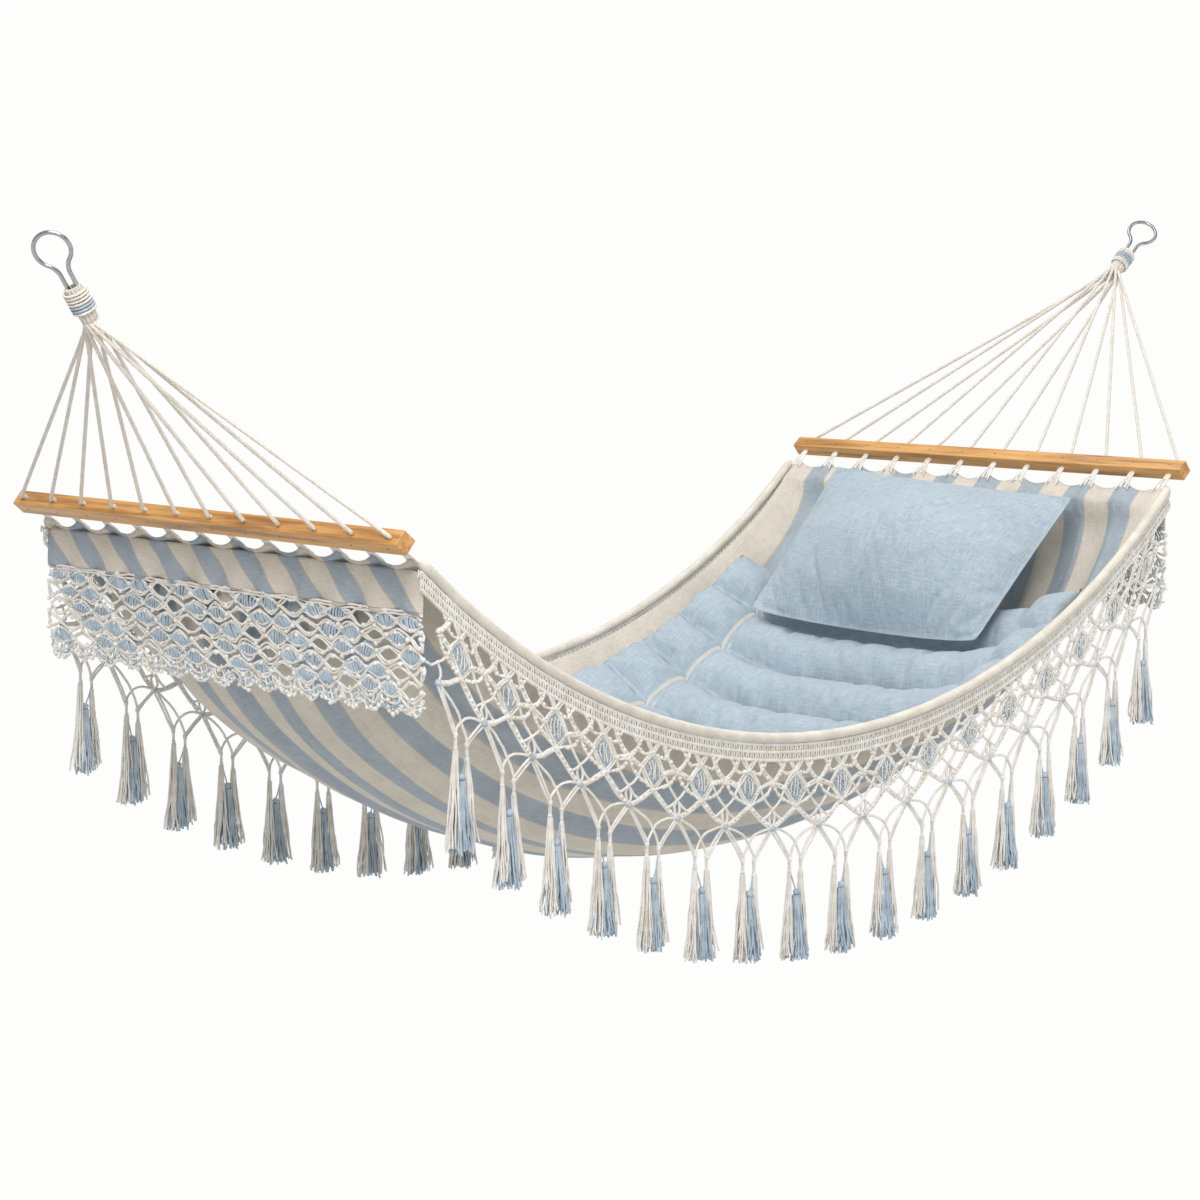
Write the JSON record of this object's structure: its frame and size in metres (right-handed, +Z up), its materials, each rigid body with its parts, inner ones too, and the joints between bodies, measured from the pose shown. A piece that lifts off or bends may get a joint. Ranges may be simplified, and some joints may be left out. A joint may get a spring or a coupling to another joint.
{
  "type": "spreader bar hammock",
  "caption": "Striped cloth hammock held open by two wooden bars, with fanned clew cords to steel eyes, a quilted pad, a pillow, and knotted side fringes with tassels.",
  "frame": {"origin": "centre of the head end's steel eye", "axes": "+X along the bed towards the pillow end, +Y across the bed to the far side, +Z up"},
  "size_m": [2.8729, 1.002, 1.2709],
  "materials": {
    "varnished_wood": "satin amber varnish",
    "steel_wire": "galvanised, slightly dull",
    "cream_cord": "twisted cotton",
    "cream_macrame": "knotted cotton",
    "striped_cloth": "woven cotton, blue and cream stripes",
    "blue_quilt": "light denim",
    "tassel_yarn": "cream and light blue yarn",
    "pin_steel": "dull"
  },
  "bodies": {
    "bed": {"foot_ring": "steel_wire", "foot_whipping": "cream_cord", "foot_clew_cords": "cream_cord", "foot_spreader_bar": "varnished_wood", "foot_bar_pins": "pin_steel", "foot_bed_loops": "cream_cord", "foot_hem_flap": "striped_cloth", "foot_valance_net": "cream_macrame", "head_ring": "steel_wire", "head_whipping": "cream_cord", "head_clew_cords": "cream_cord", "head_spreader_bar": "varnished_wood", "head_bar_pins": "pin_steel", "head_bed_loops": "cream_cord", "head_hem_flap": "striped_cloth", "head_valance_net": "cream_macrame", "bed_cloth": "striped_cloth", "near_edge_binding": "cream_cord", "far_edge_binding": "cream_cord", "near_fringe_net": "cream_macrame", "far_fringe_net": "cream_macrame"},
    "pad": {"quilted_pad": "blue_quilt"},
    "pillow": {"pillow": "blue_quilt"},
    "near_tassel_01": {"near_tassel_01": "tassel_yarn"},
    "near_tassel_02": {"near_tassel_02": "tassel_yarn"},
    "near_tassel_03": {"near_tassel_03": "tassel_yarn"},
    "near_tassel_04": {"near_tassel_04": "tassel_yarn"},
    "near_tassel_05": {"near_tassel_05": "tassel_yarn"},
    "near_tassel_06": {"near_tassel_06": "tassel_yarn"},
    "near_tassel_07": {"near_tassel_07": "tassel_yarn"},
    "near_tassel_08": {"near_tassel_08": "tassel_yarn"},
    "near_tassel_09": {"near_tassel_09": "tassel_yarn"},
    "near_tassel_10": {"near_tassel_10": "tassel_yarn"},
    "near_tassel_11": {"near_tassel_11": "tassel_yarn"},
    "near_tassel_12": {"near_tassel_12": "tassel_yarn"},
    "near_tassel_13": {"near_tassel_13": "tassel_yarn"},
    "near_tassel_14": {"near_tassel_14": "tassel_yarn"},
    "near_tassel_15": {"near_tassel_15": "tassel_yarn"},
    "near_tassel_16": {"near_tassel_16": "tassel_yarn"},
    "near_tassel_17": {"near_tassel_17": "tassel_yarn"},
    "far_tassel_01": {"far_tassel_01": "tassel_yarn"},
    "far_tassel_02": {"far_tassel_02": "tassel_yarn"},
    "far_tassel_03": {"far_tassel_03": "tassel_yarn"},
    "far_tassel_04": {"far_tassel_04": "tassel_yarn"},
    "far_tassel_05": {"far_tassel_05": "tassel_yarn"},
    "far_tassel_06": {"far_tassel_06": "tassel_yarn"},
    "far_tassel_07": {"far_tassel_07": "tassel_yarn"},
    "far_tassel_08": {"far_tassel_08": "tassel_yarn"},
    "far_tassel_09": {"far_tassel_09": "tassel_yarn"},
    "far_tassel_10": {"far_tassel_10": "tassel_yarn"},
    "far_tassel_11": {"far_tassel_11": "tassel_yarn"},
    "far_tassel_12": {"far_tassel_12": "tassel_yarn"},
    "far_tassel_13": {"far_tassel_13": "tassel_yarn"},
    "far_tassel_14": {"far_tassel_14": "tassel_yarn"},
    "far_tassel_15": {"far_tassel_15": "tassel_yarn"},
    "far_tassel_16": {"far_tassel_16": "tassel_yarn"},
    "far_tassel_17": {"far_tassel_17": "tassel_yarn"}
  },
  "joints": [
    {"name": "pad_lift", "type": "slide", "parent": "bed", "child": "pad", "axis": [0, 0, 1], "range_m": [0, 0.4]},
    {"name": "pillow_lift", "type": "slide", "parent": "pad", "child": "pillow", "axis": [0, 0, 1], "range_m": [0, 0.4]},
    {"name": "near_tassel_01_swing", "type": "hinge", "parent": "bed", "child": "near_tassel_01", "pos_m": [-2.43565, -0.49, -0.7749], "axis": [-0.7921, 0, 0.6104], "range_deg": [-60, 75]},
    {"name": "near_tassel_02_swing", "type": "hinge", "parent": "bed", "child": "near_tassel_02", "pos_m": [-2.33845, -0.49, -0.84363], "axis": [-0.8395, 0, 0.5434], "range_deg": [-60, 75]},
    {"name": "near_tassel_03_swing", "type": "hinge", "parent": "bed", "child": "near_tassel_03", "pos_m": [-2.23594, -0.49, -0.90416], "axis": [-0.8812, 0, 0.4727], "range_deg": [-60, 75]},
    {"name": "near_tassel_04_swing", "type": "hinge", "parent": "bed", "child": "near_tassel_04", "pos_m": [-2.12882, -0.49, -0.95608], "axis": [-0.917, 0, 0.3989], "range_deg": [-60, 75]},
    {"name": "near_tassel_05_swing", "type": "hinge", "parent": "bed", "child": "near_tassel_05", "pos_m": [-2.0178, -0.49, -0.99905], "axis": [-0.9466, 0, 0.3224], "range_deg": [-60, 75]},
    {"name": "near_tassel_06_swing", "type": "hinge", "parent": "bed", "child": "near_tassel_06", "pos_m": [-1.90363, -0.49, -1.03278], "axis": [-0.9698, 0, 0.2437], "range_deg": [-60, 75]},
    {"name": "near_tassel_07_swing", "type": "hinge", "parent": "bed", "child": "near_tassel_07", "pos_m": [-1.78709, -0.49, -1.05703], "axis": [-0.9866, 0, 0.1634], "range_deg": [-60, 75]},
    {"name": "near_tassel_08_swing", "type": "hinge", "parent": "bed", "child": "near_tassel_08", "pos_m": [-1.66894, -0.49, -1.07165], "axis": [-0.9966, 0, 0.082], "range_deg": [-60, 75]},
    {"name": "near_tassel_09_swing", "type": "hinge", "parent": "bed", "child": "near_tassel_09", "pos_m": [-1.55, -0.49, -1.07653], "axis": [-1, 0, 0], "range_deg": [-60, 75]},
    {"name": "near_tassel_10_swing", "type": "hinge", "parent": "bed", "child": "near_tassel_10", "pos_m": [-1.43106, -0.49, -1.07165], "axis": [-0.9966, 0, -0.082], "range_deg": [-60, 75]},
    {"name": "near_tassel_11_swing", "type": "hinge", "parent": "bed", "child": "near_tassel_11", "pos_m": [-1.31291, -0.49, -1.05703], "axis": [-0.9866, 0, -0.1634], "range_deg": [-60, 75]},
    {"name": "near_tassel_12_swing", "type": "hinge", "parent": "bed", "child": "near_tassel_12", "pos_m": [-1.19637, -0.49, -1.03278], "axis": [-0.9698, 0, -0.2437], "range_deg": [-60, 75]},
    {"name": "near_tassel_13_swing", "type": "hinge", "parent": "bed", "child": "near_tassel_13", "pos_m": [-1.0822, -0.49, -0.99905], "axis": [-0.9466, 0, -0.3224], "range_deg": [-60, 75]},
    {"name": "near_tassel_14_swing", "type": "hinge", "parent": "bed", "child": "near_tassel_14", "pos_m": [-0.97118, -0.49, -0.95608], "axis": [-0.917, 0, -0.3989], "range_deg": [-60, 75]},
    {"name": "near_tassel_15_swing", "type": "hinge", "parent": "bed", "child": "near_tassel_15", "pos_m": [-0.86406, -0.49, -0.90416], "axis": [-0.8812, 0, -0.4727], "range_deg": [-60, 75]},
    {"name": "near_tassel_16_swing", "type": "hinge", "parent": "bed", "child": "near_tassel_16", "pos_m": [-0.76155, -0.49, -0.84363], "axis": [-0.8395, 0, -0.5434], "range_deg": [-60, 75]},
    {"name": "near_tassel_17_swing", "type": "hinge", "parent": "bed", "child": "near_tassel_17", "pos_m": [-0.66436, -0.49, -0.7749], "axis": [-0.7921, 0, -0.6104], "range_deg": [-60, 75]},
    {"name": "far_tassel_01_swing", "type": "hinge", "parent": "bed", "child": "far_tassel_01", "pos_m": [-2.43565, 0.49, -0.7749], "axis": [0.7921, 0, -0.6104], "range_deg": [-60, 75]},
    {"name": "far_tassel_02_swing", "type": "hinge", "parent": "bed", "child": "far_tassel_02", "pos_m": [-2.33845, 0.49, -0.84363], "axis": [0.8395, 0, -0.5434], "range_deg": [-60, 75]},
    {"name": "far_tassel_03_swing", "type": "hinge", "parent": "bed", "child": "far_tassel_03", "pos_m": [-2.23594, 0.49, -0.90416], "axis": [0.8812, 0, -0.4727], "range_deg": [-60, 75]},
    {"name": "far_tassel_04_swing", "type": "hinge", "parent": "bed", "child": "far_tassel_04", "pos_m": [-2.12882, 0.49, -0.95608], "axis": [0.917, 0, -0.3989], "range_deg": [-60, 75]},
    {"name": "far_tassel_05_swing", "type": "hinge", "parent": "bed", "child": "far_tassel_05", "pos_m": [-2.0178, 0.49, -0.99905], "axis": [0.9466, 0, -0.3224], "range_deg": [-60, 75]},
    {"name": "far_tassel_06_swing", "type": "hinge", "parent": "bed", "child": "far_tassel_06", "pos_m": [-1.90363, 0.49, -1.03278], "axis": [0.9698, 0, -0.2437], "range_deg": [-60, 75]},
    {"name": "far_tassel_07_swing", "type": "hinge", "parent": "bed", "child": "far_tassel_07", "pos_m": [-1.78709, 0.49, -1.05703], "axis": [0.9866, 0, -0.1634], "range_deg": [-60, 75]},
    {"name": "far_tassel_08_swing", "type": "hinge", "parent": "bed", "child": "far_tassel_08", "pos_m": [-1.66894, 0.49, -1.07165], "axis": [0.9966, 0, -0.082], "range_deg": [-60, 75]},
    {"name": "far_tassel_09_swing", "type": "hinge", "parent": "bed", "child": "far_tassel_09", "pos_m": [-1.55, 0.49, -1.07653], "axis": [1, 0, 0], "range_deg": [-60, 75]},
    {"name": "far_tassel_10_swing", "type": "hinge", "parent": "bed", "child": "far_tassel_10", "pos_m": [-1.43106, 0.49, -1.07165], "axis": [0.9966, 0, 0.082], "range_deg": [-60, 75]},
    {"name": "far_tassel_11_swing", "type": "hinge", "parent": "bed", "child": "far_tassel_11", "pos_m": [-1.31291, 0.49, -1.05703], "axis": [0.9866, 0, 0.1634], "range_deg": [-60, 75]},
    {"name": "far_tassel_12_swing", "type": "hinge", "parent": "bed", "child": "far_tassel_12", "pos_m": [-1.19637, 0.49, -1.03278], "axis": [0.9698, 0, 0.2437], "range_deg": [-60, 75]},
    {"name": "far_tassel_13_swing", "type": "hinge", "parent": "bed", "child": "far_tassel_13", "pos_m": [-1.0822, 0.49, -0.99905], "axis": [0.9466, 0, 0.3224], "range_deg": [-60, 75]},
    {"name": "far_tassel_14_swing", "type": "hinge", "parent": "bed", "child": "far_tassel_14", "pos_m": [-0.97118, 0.49, -0.95608], "axis": [0.917, 0, 0.3989], "range_deg": [-60, 75]},
    {"name": "far_tassel_15_swing", "type": "hinge", "parent": "bed", "child": "far_tassel_15", "pos_m": [-0.86406, 0.49, -0.90416], "axis": [0.8812, 0, 0.4727], "range_deg": [-60, 75]},
    {"name": "far_tassel_16_swing", "type": "hinge", "parent": "bed", "child": "far_tassel_16", "pos_m": [-0.76155, 0.49, -0.84363], "axis": [0.8395, 0, 0.5434], "range_deg": [-60, 75]},
    {"name": "far_tassel_17_swing", "type": "hinge", "parent": "bed", "child": "far_tassel_17", "pos_m": [-0.66436, 0.49, -0.7749], "axis": [0.7921, 0, 0.6104], "range_deg": [-60, 75]}
  ]
}
